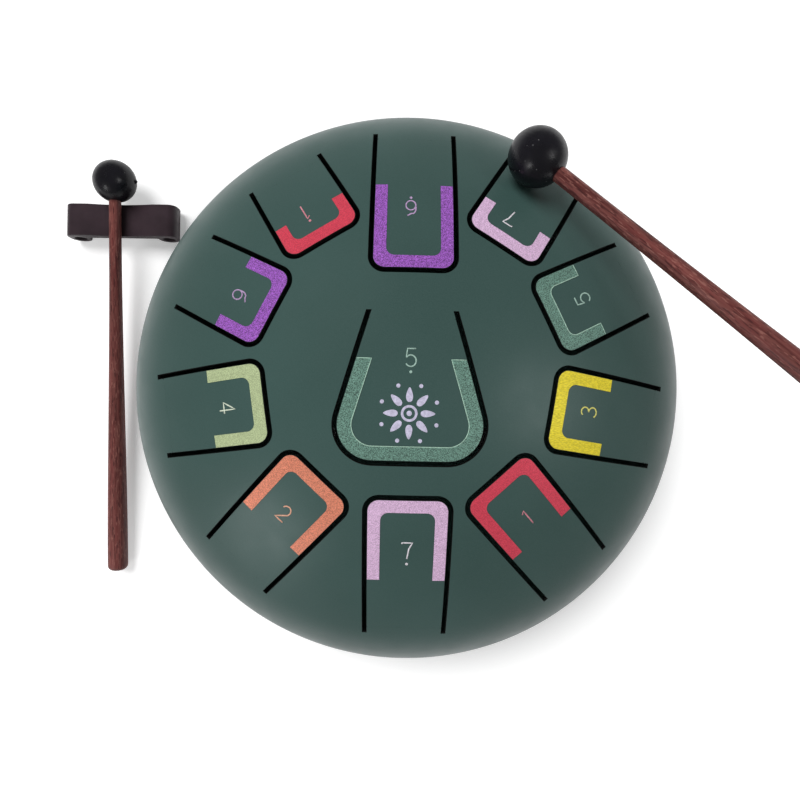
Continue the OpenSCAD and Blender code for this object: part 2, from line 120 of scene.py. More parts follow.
bm = bmesh.new()
bmesh.ops.create_grid(bm, x_segments=1, y_segments=1, size=4)
floor = object_from("floor", bm)
floor_material, tree, output = shader_material("white_table")
rays = shader_node(tree, "LightPath").outputs
seen = shader_node(tree, "Math", {0: rays["Is Glossy Ray"], 1: 0.35, 2: rays["Is Camera Ray"]},
                   operation="MULTIPLY_ADD")
floor_place = shader_node(tree, "TexCoord").outputs["Object"]
from_axis = shader_node(tree, "VectorMath", {0: floor_place}, operation="LENGTH")
open_floor = shader_node(tree, "MapRange", {"Value": from_axis.outputs["Value"], "From Min": 100 * MM,
                                            "From Max": 160 * MM, "To Max": 0.45},
                         interpolation_type="SMOOTHERSTEP")
strength = shader_node(tree, "Math", {0: seen.outputs[0], 1: open_floor.outputs["Result"]},
                       operation="MULTIPLY")
glow = shader_node(tree, "Emission", {"Strength": strength.outputs[0]})
diffuse = shader_node(tree, "BsdfDiffuse", {"Color": (0.9, 0.9, 0.9, 1)})
both = shader_node(tree, "AddShader", {0: diffuse.outputs[0], 1: glow.outputs[0]})
feed(tree, output, {"Surface": both.outputs[0]})
floor.data.materials.append(floor_material)
print("floor:", floor.name)

# %% The lamps and the world
def lamp_towards(name, kind, place, power):
    """A lamp at a place, turned towards the middle of the object."""
    data = bpy.data.lights.new(name, kind)
    data.energy = power
    lamp = bpy.data.objects.new(name, data)
    lamp.location = place
    towards = Vector((0, 0, 0.08)) - Vector(place)
    lamp.rotation_euler = towards.to_track_quat("-Z", "Y").to_euler()
    bpy.context.scene.collection.objects.link(lamp)
    return lamp


soft_sun = lamp_towards("soft_sun", "SUN", (-0.38, 0.42, 0.87), 2.5)
soft_sun.data.angle = math.radians(36)
soft_sun.visible_glossy = False
for name, place, power in (("front_left_window", (-0.62, -0.64, 0.5), 1.5),
                           ("right_window", (0.72, -0.06, 0.83), 1.5)):
    window = lamp_towards(name, "AREA", place, power)
    window.data.shape = "SQUARE"
    window.data.size = 0.3
world = bpy.data.worlds.new("pale_room")
bpy.context.scene.world = world
world.use_nodes = True
tree = world.node_tree
rays = shader_node(tree, "LightPath").outputs
level = shader_node(tree, "MapRange", {"Value": rays["Is Camera Ray"], "To Min": 0.2})
feed(tree, tree.nodes["Background"], {"Color": (1, 1, 1, 1), "Strength": level.outputs["Result"]})

# %% [markdown]
# ## The dome's shape
#
# Each bowl is a flat-topped dome: a wide arc for the crown, then a tighter arc for the shoulder,
# and the two meet without a kink. A height for every place on the crown is enough to lay tongues,
# bands and numerals on it, so one function gives the point over any place on the plan, and another
# gives the direction square to the steel there.

# %% Sizes of the dome
drum_r = 101.5 * MM
shoulder_r = 35 * MM
dome_h = 54 * MM
sheet_t = 1 * MM
bead_h = 0.8 * MM
widest_z = 60 * MM
shoulder_x = drum_r - shoulder_r
crown_r = (shoulder_x ** 2 + dome_h ** 2 - shoulder_r ** 2) / (2 * (dome_h - shoulder_r))
crown_centre = Vector((0, 0, widest_z + dome_h - crown_r))
crown_edge = shoulder_x * crown_r / (crown_r - shoulder_r)
print("crown radius:", round(crown_r / MM, 2), "mm, out to", round(crown_edge / MM, 2), "mm")


# %% Points and directions on the dome
shift = Matrix.Translation


def rotation(degrees, axis):
    return Matrix.Rotation(math.radians(degrees), 4, axis)


def arc_centre(point, distance):
    """The middle of the arc that the dome follows at a distance from the axis."""
    if distance < crown_edge:
        return crown_centre
    return Vector((point.x, point.y, 0)).normalized() * shoulder_x + Vector((0, 0, widest_z))


def on_dome(x, y, sink=0.0):
    """The point of the dome's outside over (x, y), sunk into the steel by a depth."""
    flat = Vector((x, y, 0))
    centre = arc_centre(flat, flat.length)
    radius = crown_r if flat.length < crown_edge else shoulder_r
    aside = (flat - Vector((centre.x, centre.y, 0))).length
    outside = Vector((x, y, centre.z + math.sqrt(max(radius ** 2 - aside ** 2, 0))))
    return outside - (outside - centre).normalized() * sink


def square_to_dome(point):
    """The outward direction at a point in the upper shell's sheet, at any depth."""
    from_crown = point - crown_centre
    reach = crown_r * math.hypot(point.x, point.y) / from_crown.length
    return (point - arc_centre(point, reach)).normalized()


def depth_in_sheet(point):
    """How deep a point lies under the dome's outside."""
    reach = crown_r * math.hypot(point.x, point.y) / (point - crown_centre).length
    radius = crown_r if reach < crown_edge else shoulder_r
    return radius - (point - arc_centre(point, reach)).length


def eased_square(point):
    """The outward direction, turning gradually where the crown passes into the shoulder."""
    square = square_to_dome(point)
    reach = math.hypot(point.x, point.y)
    near, far = crown_edge - 6 * MM, crown_edge + 5 * MM
    if not near < reach < far or point.z < widest_z:
        return square
    first, last = math.asin(near / crown_r), math.asin((far - shoulder_x) / shoulder_r)
    rise_near = (far - near) / (crown_r * math.cos(first))
    rise_far = (far - near) / (shoulder_r * math.cos(last))
    t = (reach - near) / (far - near)
    t2, t3 = t ** 2, t ** 3
    slope = ((2 * t3 - 3 * t2 + 1) * first + (t3 - 2 * t2 + t) * rise_near
             + (3 * t2 - 2 * t3) * last + (t3 - t2) * rise_far)
    aside = Vector((square.x, square.y, 0)).normalized()
    return aside * math.sin(slope) + Vector((0, 0, math.cos(slope)))


print("top of the crown:", round(on_dome(0, 0).z / MM, 2), "mm")

# %% [markdown]
# ## The tongue layout
#
# Every outer tongue is the same width, with its root towards the rim. Its slot is a U with rounded
# corners. The middle tongue is larger, and its sides lean out. A maker tunes each note by cutting
# its slots a little longer, so the roots lie at slightly different distances. A slot, a tongue and
# a band share one outline, drawn larger or smaller, so one function makes its list of points.

# %% Slots and tongues
slot_w = 1.36 * MM
slot_end_len = 2.4 * MM
root_y = 81.5 * MM
tongue_w = 26.4915 * MM
tongue_corner_r = 4.4 * MM
# note: length from the common root line, turn in degrees, and how far tuning moved its root, in mm
layout = {
    "low_6": (46.9945, 0.0, 1.5), "low_7": (46.5073, 180.0, -0.6), "1": (42.6909, -137.4, 1.6),
    "2": (41.8992, 137.4, 0.0), "3": (37.2911, -98.5, 0.8), "4": (36.6009, 98.5, -0.4),
    "5": (34.4085, -63.4, 0.2), "6": (33.7995, 63.4, -2.3), "7": (29.9019, -31.7, 0.5),
    "high_1": (29.3944, 31.7, -1.2),
}
centre_root_y = 19.407 * MM
centre_corner_r = 11.51 * MM
centre_corner_y = centre_corner_r - 24.441 * MM
centre_lean = 16.4
centre_flare = math.radians(centre_lean)
centre_half_w = 13.895 * MM
centre_corner_x = (centre_half_w + (centre_root_y - centre_corner_y) * math.tan(centre_flare)
                   - centre_corner_r / math.cos(centre_flare))


def oval_arc(x, y, across, up, first, last, steps=14):
    """Points on an oval arc from one angle to another, in degrees."""
    angles = [math.radians(first + (last - first) * i / steps) for i in range(steps + 1)]
    return [(x + across * math.cos(a), y + up * math.sin(a)) for a in angles]


def round_arc(x, y, radius, first, last, steps=16):
    """Points on a round arc, in the same way."""
    return oval_arc(x, y, radius, radius, first, last, steps)


def half_outline(note, grow):
    """The right side of a tongue's outline from its root to its closed end, grown by an amount."""
    if note == "low_5":
        return round_arc(centre_corner_x, centre_corner_y, centre_corner_r + grow, centre_lean, -90)
    closed_end = root_y - layout[note][0] * MM
    return round_arc(tongue_w / 2 - tongue_corner_r, closed_end + tongue_corner_r,
                     tongue_corner_r + grow, 0, -90)


def side_x(note, y, grow):
    """How far out the right side of a tongue's outline lies at a height y."""
    if note == "low_5":
        x, top = half_outline(note, grow)[0]
        return x - (y - top) * math.tan(centre_flare)
    return tongue_w / 2 + grow


def root_of(note):
    return centre_root_y if note == "low_5" else root_y + layout[note][2] * MM


def turned(note):
    """The turn of a tongue about the drum's axis."""
    return rotation(layout[note][1] if note in layout else 0.0, "Z")


def with_mirror(points):
    """A right-hand half outline, and its mirror image, as one closed outline."""
    return points + [(-x, y) for x, y in reversed(points)]


notes = ["low_5", *layout]
print("tongues:", notes)

# %% [markdown]
# ## Helpers for pieces
#
# A flat pattern becomes a piece of the dome in four steps. It is drawn flat, crossed by a grid of
# cuts so that it can bend, lifted onto the dome, and given the sheet's thickness. The grid is
# needed because a face without points inside stays flat. The shading then follows the true curve
# of the dome, and not the small faces, by normals of its own.

# %% From bmesh to object
def new_object(name, bm, body):
    """Turns a bmesh into a smooth piece that rides on a body of the CAD model."""
    piece = object_from(name, bm)
    for polygon in piece.data.polygons:
        polygon.use_smooth = True
    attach(piece, body)
    return piece


def flat_face(bm, points, turn=Matrix()):
    """One flat face through a closed list of points, turned about the axis."""
    return bm.faces.new([bm.verts.new(turn @ Vector((x, y, 0))) for x, y in points])


def everything(bm):
    return bm.verts[:] + bm.edges[:] + bm.faces[:]


def face_outwards(bm):
    bmesh.ops.recalc_face_normals(bm, faces=bm.faces)


def circle(bm, radius, segments, filled=True):
    return bmesh.ops.create_circle(bm, cap_ends=filled, radius=radius, segments=segments)["verts"]


def picked(geometry, kind):
    """The points, the edges or the faces among what an operator gives back."""
    return [item for item in geometry if isinstance(item, kind)]


def bisect(bm, point, square, clear_outer=False, dist=2e-6):
    """Cuts everything by a plane, and may clear away what lies in front of it."""
    bmesh.ops.bisect_plane(bm, geom=everything(bm), dist=dist, plane_co=point, plane_no=square,
                           clear_outer=clear_outer)


def cross_with_grid(bm, pitch=4 * MM, reach=88 * MM):
    """Cuts a flat pattern by evenly spaced lines along X and Y."""
    count = int(reach / pitch)
    for direction in (Vector((1, 0, 0)), Vector((0, 1, 0))):
        for i in range(-count, count + 1):
            bisect(bm, direction * (i * pitch), direction)


def lift_to_dome(bm, sinks, above=0.0):
    """Moves each flat point onto the dome, less its own sink."""
    for vert in bm.verts:
        vert.co = on_dome(vert.co.x, vert.co.y, vert[sinks] - above)


def inset_all_round(bm, face, width):
    """Insets a lone face, which stays as the inner one, and gives the edges of its old outline."""
    bm.normal_update()
    bmesh.ops.inset_region(bm, faces=[face], thickness=width, use_even_offset=True,
                           use_boundary=True)
    inner = set(face.verts)
    near = {edge for vert in inner for side in vert.link_faces for edge in side.edges}
    return [edge for edge in near if not inner & set(edge.verts)]


def thicken(bm, thickness):
    """Gives a sheet its thickness, inwards and square to the dome."""
    outside = bm.faces[:]
    if sum(face.normal.z for face in outside) < 0:
        bmesh.ops.reverse_faces(bm, faces=outside)
    inner = bmesh.ops.extrude_face_region(bm, geom=outside, use_keep_orig=True)["geom"]
    for vert in picked(inner, BMVert):
        vert.co -= square_to_dome(vert.co) * thickness
    face_outwards(bm)


def shade_by_dome(piece):
    """Sets the skins' normals from the dome's own curve; cut walls and chamfers get material 1,
    painted shade.
    """
    mesh = piece.data
    depths = [depth_in_sheet(v.co) for v in mesh.vertices]
    squares = [eased_square(v.co) for v in mesh.vertices]
    normals = [None] * len(mesh.loops)
    close = 0.01 * MM
    for face in mesh.polygons:
        deep = [depths[i] for i in face.vertices]
        skin = max(deep) < close or min(deep) > sheet_t - close
        cut = max(deep) - min(deep) > close and min(deep) < sheet_t - close
        face.material_index = 1 if cut else 0
        for loop in face.loop_indices:
            square = squares[mesh.loops[loop].vertex_index]
            turn = 1 if square.dot(face.normal) > 0 else -1
            normals[loop] = square * turn if skin else face.normal.copy()
    mesh.normals_split_custom_set(normals)


print("depth of a point on the outside:", round(depth_in_sheet(on_dome(0, 10 * MM)), 6))

# %% [markdown]
# ## Tongues
#
# A tongue is the sheet that a slot leaves free on three sides. A cut slot has a slight round at its
# edge. Here it is a small chamfer: the pattern's rim is inset by its width, and the outermost points
# are sunk by the same amount. The chamfer and the slot's walls are painted nearly black, a painted
# shade that makes the slot read as a dark gap. The root is cut last, so it has no chamfer, and the
# tongue runs on into the shell with no visible line, as pressed steel does.

# %% Make the eleven tongues
chamfer = 0.14 * MM
past_root = 3 * MM


def tongue_piece(note):
    bm = bmesh.new()
    sinks = bm.verts.layers.float.new("sink")
    turn = turned(note)
    top = root_of(note) + past_root
    half = [(side_x(note, top, -slot_w / 2), top), *half_outline(note, -slot_w / 2)]
    face = flat_face(bm, with_mirror(half), turn)
    inset_all_round(bm, face, chamfer)
    inner = set(face.verts)
    for vert in bm.verts:
        vert[sinks] = 0 if vert in inner else chamfer
    along = turn @ Vector((0, 1, 0))
    bisect(bm, along * root_of(note), along, clear_outer=True)
    cross_with_grid(bm)
    lift_to_dome(bm, sinks)
    thicken(bm, sheet_t)
    bm.normal_update()
    piece = new_object("steel_tongue_" + note, bm, "tongue_" + note)
    shade_by_dome(piece)
    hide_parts("tongue_" + note)
    return piece


tongues = [tongue_piece(note) for note in notes]
print("tongues:", len(tongues), "faces:", sum(len(t.data.polygons) for t in tongues))

# %% [markdown]
# ## Upper shell
#
# The upper bowl is pressed first and slotted after. Its pattern is a disc with eleven openings, one
# for each tongue with its slot. Each opening starts as a face whose rim is inset for the chamfer;
# the face inside is removed, and the flat between the openings and the disc's rim is filled with
# triangles. The shoulder bends much more than the crown, so the cuts lie 2 mm apart here. From the
# disc's rim the sheet goes on down the shoulder, ring by ring.

# %% Make the upper shell
disc_r = 88 * MM
fade = 0.3 * MM
bm = bmesh.new()
sinks = bm.verts.layers.float.new("sink")


def opening_outline(note, grow):
    """The opening for a tongue and its slot. By each corner a point lets the chamfer fade."""
    root = root_of(note)
    end = root + slot_end_len
    root_x, end_x = (side_x(note, y, -slot_w / 2) - grow for y in (root, end))
    return with_mirror([(root_x - fade, root + grow), (root_x, root + grow), (end_x, end + grow),
                        (side_x(note, end, slot_w / 2) + grow, end + grow),
                        *half_outline(note, slot_w / 2 + grow)])


circle(bm, disc_r, 192, filled=False)
fill_edges = bm.edges[:]
for note in notes:
    face = flat_face(bm, opening_outline(note, chamfer), turned(note))
    fill_edges += inset_all_round(bm, face, chamfer)
    tongue_x = side_x(note, root_of(note), -slot_w / 2)
    for vert in face.verts:
        flat = turned(note).inverted() @ vert.co
        at_root = abs(flat.y - root_of(note)) < 0.05 * MM
        vert[sinks] = 0 if at_root and abs(flat.x) < tongue_x - 0.2 * MM else chamfer
    bmesh.ops.delete(bm, geom=[face], context="FACES_ONLY")
bmesh.ops.triangle_fill(bm, edges=fill_edges, use_beauty=True, normal=(0, 0, 1))
cross_with_grid(bm, 2 * MM)
lift_to_dome(bm, sinks)
print("flat pattern:", len(bm.faces), "faces")

# %% Draw the sheet on down the shoulder
outer_ring = [e for e in bm.edges if e.is_boundary
              and all(math.hypot(v.co.x, v.co.y) > disc_r - 0.1 * MM for v in e.verts)]
start = math.degrees(math.acos((disc_r - shoulder_x) / shoulder_r))
end = math.degrees(math.asin(bead_h / 2 / shoulder_r))
for ring_r, ring_z in round_arc(shoulder_x, widest_z, shoulder_r, start, end, 20)[1:]:
    drawn = bmesh.ops.extrude_edge_only(bm, edges=outer_ring)["geom"]
    for vert in picked(drawn, BMVert):
        aside = Vector((vert.co.x, vert.co.y, 0)).normalized() * ring_r
        vert.co = aside + Vector((0, 0, ring_z))
    outer_ring = picked(drawn, BMEdge)
face_outwards(bm)
thicken(bm, sheet_t)
bm.normal_update()
upper_shell = new_object("pressed_upper_shell", bm, "drum")
shade_by_dome(upper_shell)
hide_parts("upper_shell")
print("upper shell:", len(upper_shell.data.polygons), "faces")

# %% [markdown]
# ## Lower shell
#
# The lower bowl has no slots, so it is a plain turned form: half of its section, spun once round
# the axis. The section takes in the rolled edge of the round sound hole and the lip that stands up
# inside the upper bowl. A spun piece needs its doubled seam merged and its normals set outwards.

# %% Make the lower shell
def spun(bm, profile, steps, place=Matrix(), closed=True):
    """Spins a list of (distance, height) points once round Z, and places the result."""
    verts = [bm.verts.new((x, 0, z)) for x, z in profile]
    edges = [bm.edges.new(pair) for pair in zip(verts, verts[1:])]
    if closed:
        edges.append(bm.edges.new((verts[-1], verts[0])))
    bmesh.ops.spin(bm, geom=verts + edges, cent=(0, 0, 0), axis=(0, 0, 1), dvec=(0, 0, 0),
                   angle=2 * math.pi, steps=steps, use_merge=True, use_duplicate=False)
    bmesh.ops.remove_doubles(bm, verts=bm.verts, dist=1e-7)
    face_outwards(bm)
    bmesh.ops.transform(bm, matrix=place, verts=bm.verts)


def keep_edges(piece, degrees=35):
    """Smooth shading that stops at edges sharper than an angle."""
    piece.data.set_sharp_from_angle(angle=math.radians(degrees))


def dome_section(sink, height, distance):
    """The dome's outline, sunk by a depth, from a height over the widest line to a distance."""
    start = math.degrees(math.asin(height / (shoulder_r - sink)))
    meet = math.degrees(math.atan2(crown_r - dome_h, shoulder_x))
    end = math.degrees(math.acos(distance / (crown_r - sink)))
    return (round_arc(shoulder_x, 0, shoulder_r - sink, start, meet, 24)
            + round_arc(0, dome_h - crown_r, crown_r - sink, meet, end, 30)[1:])


port_r = 25 * MM
roll = sheet_t / 2
lip_h = 5 * MM
lip_gap = 0.05 * MM
outer = dome_section(0, bead_h / 2, port_r + roll)
inner = dome_section(sheet_t, lip_h, port_r + roll)
edge_x, edge_z = (outer[-1][0] + inner[-1][0]) / 2, (outer[-1][1] + inner[-1][1]) / 2
rolled = round_arc(edge_x, edge_z, roll, 110, 250, 7)
lip_r = shoulder_r - sheet_t - lip_gap
lip_outside = round_arc(shoulder_x, 0, lip_r, -8.5, 8.5, 10)
lip_inside = round_arc(shoulder_x, 0, lip_r - sheet_t, 8.7, -8.7, 10)
section = outer + rolled + inner[::-1] + lip_inside + lip_outside
bm = bmesh.new()
spun(bm, [(x, widest_z - z) for x, z in section], 192)
lower_shell = new_object("pressed_lower_shell", bm, "drum")
keep_edges(lower_shell)
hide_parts("lower_shell")
print("lower shell:", len(lower_shell.data.polygons), "faces")

# %% [markdown]
# ## Rubber feet
#
# Each foot is a short rubber cone that stands square on the round underside, with a bore for its
# screw. Standing on a table, its end is cut level, so it is turned as a ring first, placed, and
# then bisected at the table. The cut's two open rims are bridged and rounded.

# %% Make the three feet
foot_reach = 42 * MM
foot_tilt = math.asin(foot_reach / crown_r)
bowl_centre_z = 6 * MM + crown_r
foot_len = bowl_centre_z / math.cos(foot_tilt) - crown_r
head_seat = foot_len - 5.5 * MM
screw_bore_r = 2.2 * MM
head_bore_r = 4 * MM
seat_gap = 0.05 * MM


def shell_rise(distance):
    """How far the underside curves away from a foot's top at a distance from the foot's axis."""
    return crown_r - math.sqrt(crown_r ** 2 - distance ** 2) - seat_gap


def foot_piece(name, turn):
    place = (shift((0, 0, bowl_centre_z)) @ rotation(turn, "Z")
             @ rotation(-math.degrees(foot_tilt), "Y") @ shift((0, 0, -crown_r)))
    past_table = -foot_len - 3 * MM
    top = [(r, shell_rise(r)) for r in (screw_bore_r, 4 * MM, 6 * MM, 8 * MM, 9.4 * MM)]
    side = [(9.8 * MM, shell_rise(9.8 * MM) - 0.12 * MM), (9.9 * MM, -0.5 * MM),
            (9.2 * MM, -5 * MM), (8.85 * MM, -9 * MM), (8.75 * MM, past_table)]
    bore = [(head_bore_r, past_table), (head_bore_r, -head_seat), (screw_bore_r, -head_seat)]
    bm = bmesh.new()
    spun(bm, top + side + bore, 64, place)
    bisect(bm, (0, 0, 0), (0, 0, -1), clear_outer=True, dist=1e-7)
    rims = [e for e in bm.edges if e.is_boundary]
    bmesh.ops.bridge_loops(bm, edges=rims)
    bmesh.ops.bevel(bm, geom=rims, offset=0.45 * MM, offset_type="OFFSET", segments=3, profile=0.5,
                    affect="EDGES", material=-1)
    face_outwards(bm)
    piece = new_object("rubber_" + name, bm, "drum")
    keep_edges(piece, 40)
    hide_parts(name)
    return piece


foot_turns = {"foot_front": 90, "foot_rear_left": 210, "foot_rear_right": 330}
feet = [foot_piece(name, turn) for name, turn in foot_turns.items()]
print("feet:", [f.name for f in feet])

# %% [markdown]
# ## Numerals, octave dots and fine outlines
#
# The note numbers are drawn in lines as thin as a pen's. Each numeral is a few strokes in a unit
# box; a stroke becomes a fine round wire, which is then pressed nearly flat on the crown. The two
# green notes also have a pale line along the inside of their bands. Wires are simpler than a font
# here, because a font's strokes are too thick at this size.

# %% Strokes of the numerals
strokes = {
    "1": [[(-0.13, 0.86), (0.06, 1), (0.06, 0)]],
    "2": [oval_arc(0, 0.7, 0.28, 0.3, 165, -35) + [(-0.3, 0), (0.31, 0)]],
    "3": [oval_arc(-0.02, 0.76, 0.25, 0.24, 150, -90), oval_arc(-0.02, 0.26, 0.29, 0.26, 90, -150)],
    "4": [[(0.12, 0), (0.12, 1), (-0.33, 0.3), (0.32, 0.3)]],
    "5": [[(0.27, 1), (-0.2, 1), (-0.26, 0.52)] + oval_arc(-0.01, 0.32, 0.3, 0.32, 140, -150)],
    "6": [[(0.2, 1), (-0.02, 0.86)] + oval_arc(0.02, 0.5, 0.32, 0.42, 125, 200, 8),
          oval_arc(0, 0.31, 0.29, 0.31, 0, 360, 24)],
    "7": [[(-0.3, 0.93), (-0.3, 1), (0.3, 1), (0.1, 0.62), (0, 0)]],
}
print("numerals drawn:", sorted(strokes))


# %% Wires laid on the crown
wire_pitch = 1.5 * MM
wire_h = 0.05 * MM


def stepped(points):
    """The same line with more points along it, so that it can bend with the crown."""
    line = [points[0]]
    for (x, y), (u, v) in zip(points, points[1:]):
        count = math.ceil(math.hypot(u - x, v - y) / wire_pitch)
        line += [(x + (u - x) * i / count, y + (v - y) * i / count) for i in range(1, count + 1)]
    return line


def wire_mesh(lines, width):
    """A bmesh of thin round wires along flat lines of points."""
    curve = bpy.data.curves.new("wire", "CURVE")
    curve.dimensions = "3D"
    curve.bevel_depth = width / 2
    curve.bevel_resolution = 1
    curve.use_fill_caps = True
    for line in map(stepped, lines):
        spline = curve.splines.new("POLY")
        spline.points.add(len(line) - 1)
        for point, (x, y) in zip(spline.points, line):
            point.co = (x, y, 0, 1)
    holder = bpy.data.objects.new("wire", curve)
    bm = bmesh.new()
    bm.from_mesh(bpy.data.meshes.new_from_object(holder))
    bpy.data.objects.remove(holder)
    bmesh.ops.remove_doubles(bm, verts=bm.verts, dist=1e-7)
    return bm


def press_on_crown(bm, place, under=0.0):
    """Places flat wires on the crown and presses them to a low ridge."""
    bmesh.ops.transform(bm, matrix=place, verts=bm.verts)
    tall = max(abs(v.co.z) for v in bm.verts)
    for vert in bm.verts:
        vert.co = on_dome(vert.co.x, vert.co.y, -under - wire_h * vert.co.z / tall)
    face_outwards(bm)


digit_h = 5.4 * MM
stroke_w = 0.48 * MM
dot_r = 0.45 * MM
foil_of = {"low_5": "green", "low_6": "purple", "low_7": "pink", "1": "red", "2": "orange",
           "3": "yellow", "4": "lime", "5": "green", "6": "purple", "7": "pink", "high_1": "red"}
# note: the numeral's place aside and along the tongue, and its octave dot's place along, in mm
numerals = {
    "low_5": (-0.2, 7.5, 3.2), "low_6": (-1.0, 55.4, 59.2), "low_7": (-0.1, 52.2, 56.7),
    "1": (0.1, 56.1, None), "2": (0.4, 56.8, None), "3": (-0.9, 57.3, None), "4": (-0.3, 58.2, None),
    "5": (-1.0, 61.7, None), "6": (-0.5, 60.8, None), "7": (-1.8, 62.3, None),
    "high_1": (-1.1, 64.7, 61.0),
}


def numeral_piece(note):
    aside, along, dot = numerals[note]
    size = digit_h if note == "low_5" else -digit_h
    lines = [[(x * size + aside * MM, (y - 0.5) * size + along * MM) for x, y in stroke]
             for stroke in strokes[note[-1]]]
    bm = wire_mesh(lines, stroke_w)
    if dot is not None:
        disc = bmesh.ops.create_uvsphere(bm, u_segments=16, v_segments=8, radius=dot_r)["verts"]
        bmesh.ops.scale(bm, vec=(1, 1, stroke_w / 2 / dot_r), verts=disc)
        bmesh.ops.translate(bm, vec=(aside * MM, dot * MM, 0), verts=disc)
    press_on_crown(bm, turned(note))
    return new_object("numeral_" + note, bm, "tongue_" + note)


marks = [numeral_piece(note) for note in notes]
print("numerals:", [m.name for m in marks])

# %% Pale lines along the green bands
band_margin = 0.2 * MM
band_t = 0.13 * MM
line_w = 0.3 * MM
over_edge = 0.1 * MM


def band_line(note, band_w, legs_y, corner_r=None):
    """The inside of a band and the ends of its legs, as one line."""
    outer = -slot_w / 2 - band_margin
    inset = outer - band_w
    if note == "low_5":
        corner = half_outline(note, inset + over_edge)
    else:
        closed_end = root_y - layout[note][0] * MM - inset
        corner = round_arc(tongue_w / 2 + inset - corner_r, closed_end + corner_r, corner_r, 0, -90)
    half = [(side_x(note, legs_y, outer) - over_edge, legs_y - over_edge),
            (side_x(note, legs_y, inset), legs_y - over_edge), *corner]
    bm = wire_mesh([with_mirror(half)], line_w)
    press_on_crown(bm, turned(note), under=band_t)
    return new_object("band_line_" + note, bm, "tongue_" + note)


band_lines = [band_line("low_5", 4.4 * MM, centre_root_y - 12.2 * MM),
              band_line("5", 3.9 * MM, root_y - 17.5 * MM, 2.6 * MM)]
print("pale lines:", len(band_lines))

# %% [markdown]
# ## Ornament
#
# The middle tongue carries a printed ornament in pale lilac: a plain rosette of a ring with an eye,
# eight leaves and eight dots. One leaf is a disc pulled to a point, and a spin that copies it makes
# the eight. The print is as thin as paint, so it is a flat pattern lifted onto the crown.

# %% Make the rosette
rosette_middle = (-0.4 * MM, -9.2 * MM, 0)
leaf_start, leaf_len, leaf_half_w = 3.4 * MM, 4.4 * MM, 1.35 * MM
leaf_narrowing = 0.55
dot_distance, rosette_dot_r = 8.9 * MM, 0.62 * MM
ring_r, ring_w, eye_r = 2.5 * MM, 0.75 * MM, 0.8 * MM
print_t = 0.05 * MM
bm = bmesh.new()
for vert in circle(bm, 1, 32):
    share = (vert.co.y + 1) / 2
    half_w = leaf_half_w * (1 - leaf_narrowing * share)
    vert.co = Vector((vert.co.x * half_w, leaf_start + leaf_len * share, 0))
dot = circle(bm, rosette_dot_r, 20)
dot_place = rotation(22.5, "Z") @ shift((0, dot_distance, 0))
bmesh.ops.transform(bm, matrix=dot_place, verts=dot)
bmesh.ops.spin(bm, geom=everything(bm), cent=(0, 0, 0), axis=(0, 0, 1), dvec=(0, 0, 0),
               angle=math.radians(315), steps=7, use_duplicate=True)
ring_face = circle(bm, ring_r, 48)[0].link_faces[0]
inset_all_round(bm, ring_face, ring_w)
bmesh.ops.delete(bm, geom=[ring_face], context="FACES_ONLY")
circle(bm, eye_r, 24)
bmesh.ops.translate(bm, vec=rosette_middle, verts=bm.verts)
sinks = bm.verts.layers.float.new("sink")
cross_with_grid(bm, reach=24 * MM)
lift_to_dome(bm, sinks, above=print_t)
thicken(bm, print_t * 0.9)
rosette = new_object("printed_rosette", bm, "tongue_low_5")
keep_edges(rosette)
print("rosette:", len(rosette.data.polygons), "faces")

# %% [markdown]
# ## Mallet sticks
#
# A stick is turned hardwood, slim at the head and swelling to a rounded grip. It is made upright and
# then laid in its place. The wood's grain must run along the stick wherever it lies, so each point
# keeps its upright position in an attribute, and the material reads that.

# %% Make the two sticks
head_r = 9.5 * MM
stick_len = 182 * MM
neck_r = 2.65 * MM
grip_r = 4.4 * MM
stick_round = 2.4 * MM
strike_distance = 78.5001 * MM
stick_gap = 0.3 * MM
crown_lean = math.degrees(math.asin(strike_distance / crown_r))
head_centre = (shift(crown_centre) @ rotation(90 - 28.1, "Z") @ rotation(crown_lean, "Y")
               @ Vector((0, 0, crown_r + stick_gap + head_r)))
playing_place = shift(head_centre) @ rotation(-44.7, "Z") @ rotation(90 - 15.4, "Y")
saddle_z = 9.9 * MM
neck_z = saddle_z + neck_r + stick_gap
overhang = 16.9 * MM
drop = (neck_z - grip_r - stick_gap) / (stick_len - overhang)
beside_drum = shift((-136.2 * MM, 77.0994 * MM, 0)) @ rotation(0.7, "Z")
resting_place = (beside_drum @ shift((0, overhang, neck_z + drop * (7.5 * MM + overhang)))
                 @ rotation(90 + math.degrees(math.atan(drop)), "X"))


def keep_grain(piece, place):
    """Stores each point's place along the upright stick, for the wood to follow."""
    grain = piece.data.attributes.new("grain", "FLOAT_VECTOR", "POINT")
    back = place.inverted()
    for vert, spot in zip(piece.data.vertices, grain.data):
        spot.vector = back @ vert.co


def stick_radius(share):
    """The stick's radius, slim for its first third and swelling gently into the grip."""
    eased = share ** 1.2
    return neck_r + (grip_r - neck_r) * eased * eased * (3 - 2 * eased)


def stick_piece(body, place):
    name = body + "_stick"
    swell = stick_len - stick_round - head_r
    sides = [(stick_radius(i / 28), head_r + swell * i / 28) for i in range(29)]
    end = round_arc(grip_r - stick_round, stick_len - stick_round, stick_round, 15, 90, 5)
    bottom = [(0, -2 * MM), (neck_r - 0.3 * MM, -2 * MM), (neck_r, -1.7 * MM)]
    bm = bmesh.new()
    spun(bm, bottom + sides + end + [(0, stick_len)], 48, place, closed=False)
    piece = new_object("wooden_" + name, bm, body)
    keep_edges(piece, 50)
    keep_grain(piece, place)
    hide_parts(name)
    return piece


sticks = [stick_piece("rest_mallet", resting_place), stick_piece("playing_mallet", playing_place)]
print("sticks:", [len(s.data.polygons) for s in sticks])

